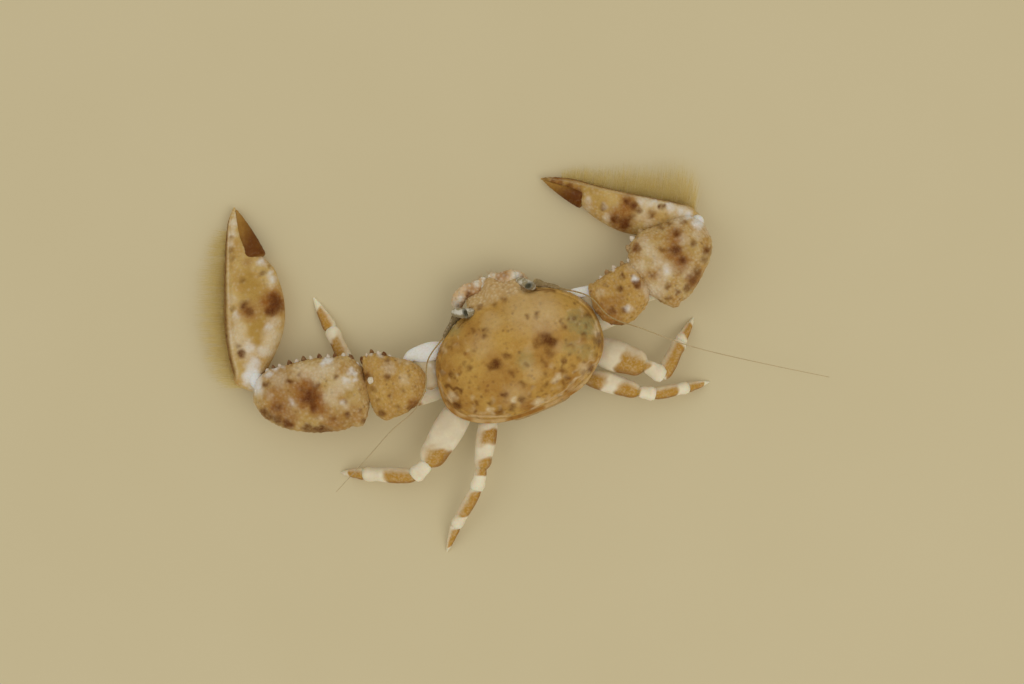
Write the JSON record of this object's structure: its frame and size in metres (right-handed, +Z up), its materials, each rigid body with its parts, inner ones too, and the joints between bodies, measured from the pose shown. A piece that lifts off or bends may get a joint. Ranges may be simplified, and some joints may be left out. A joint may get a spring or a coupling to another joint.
{
  "type": "porcelain crab",
  "caption": "Small flat crab with a domed back shell, broad spread claws with dark fingertips, banded walking legs and long thin feelers, modelled life size in a standing pose.",
  "frame": {"origin": "on the ground below the middle of the outline, feelers and bristles included", "axes": "+Z up; the crab faces -Y, and its left side is +X"},
  "size_m": [0.0294, 0.0206, 0.0042],
  "materials": {
    "back_shell": "mottled olive and tan shell with dark brown blotches",
    "claw_shell": "pinkish tan shell with red-brown spots",
    "finger": "dark brown glossy finger",
    "leg_shell": "translucent white shell with orange-brown bands",
    "joint_skin": "white joint membrane",
    "under_shell": "pale cream shell of the underside and the mouth limbs",
    "feeler": "olive-brown feelers",
    "eye": "dark glossy eye on a pale stalk"
  },
  "bodies": {
    "root": {"abdomen": "under_shell", "antenna_base_left": "feeler", "antenna_base_right": "feeler", "antenna_whip_left": "feeler", "antenna_whip_right": "feeler", "antennule_left": "feeler", "antennule_right": "feeler", "carapace": "back_shell", "claw_left_carpus": "claw_shell", "claw_left_finger": "finger", "claw_left_ischium": "joint_skin", "claw_left_merus": "claw_shell", "claw_left_palm": "claw_shell", "claw_right_carpus": "claw_shell", "claw_right_finger": "finger", "claw_right_ischium": "joint_skin", "claw_right_merus": "claw_shell", "claw_right_palm": "claw_shell", "eye_left": "eye", "eye_right": "eye", "fifth_leg_left": "leg_shell", "fifth_leg_right": "leg_shell", "leg1_left_carpus": "leg_shell", "leg1_left_coxa": "leg_shell", "leg1_left_dactyl": "leg_shell", "leg1_left_merus": "leg_shell", "leg1_left_propodus": "leg_shell", "leg1_right_carpus": "leg_shell", "leg1_right_coxa": "leg_shell", "leg1_right_dactyl": "leg_shell", "leg1_right_merus": "leg_shell", "leg1_right_propodus": "leg_shell", "leg2_left_carpus": "leg_shell", "leg2_left_coxa": "leg_shell", "leg2_left_dactyl": "leg_shell", "leg2_left_merus": "leg_shell", "leg2_left_propodus": "leg_shell", "leg2_right_carpus": "leg_shell", "leg2_right_coxa": "leg_shell", "leg2_right_dactyl": "leg_shell", "leg2_right_merus": "leg_shell", "leg2_right_propodus": "leg_shell", "leg3_left_carpus": "leg_shell", "leg3_left_coxa": "leg_shell", "leg3_left_dactyl": "leg_shell", "leg3_left_merus": "leg_shell", "leg3_left_propodus": "leg_shell", "leg3_right_carpus": "leg_shell", "leg3_right_coxa": "leg_shell", "leg3_right_dactyl": "leg_shell", "leg3_right_merus": "leg_shell", "leg3_right_propodus": "leg_shell", "mouth_limb_left_palp": "under_shell", "mouth_limb_left_plate": "under_shell", "mouth_limb_right_palp": "under_shell", "mouth_limb_right_plate": "under_shell", "sternum": "under_shell", "tail_fan": "under_shell"}
  },
  "joints": []
}
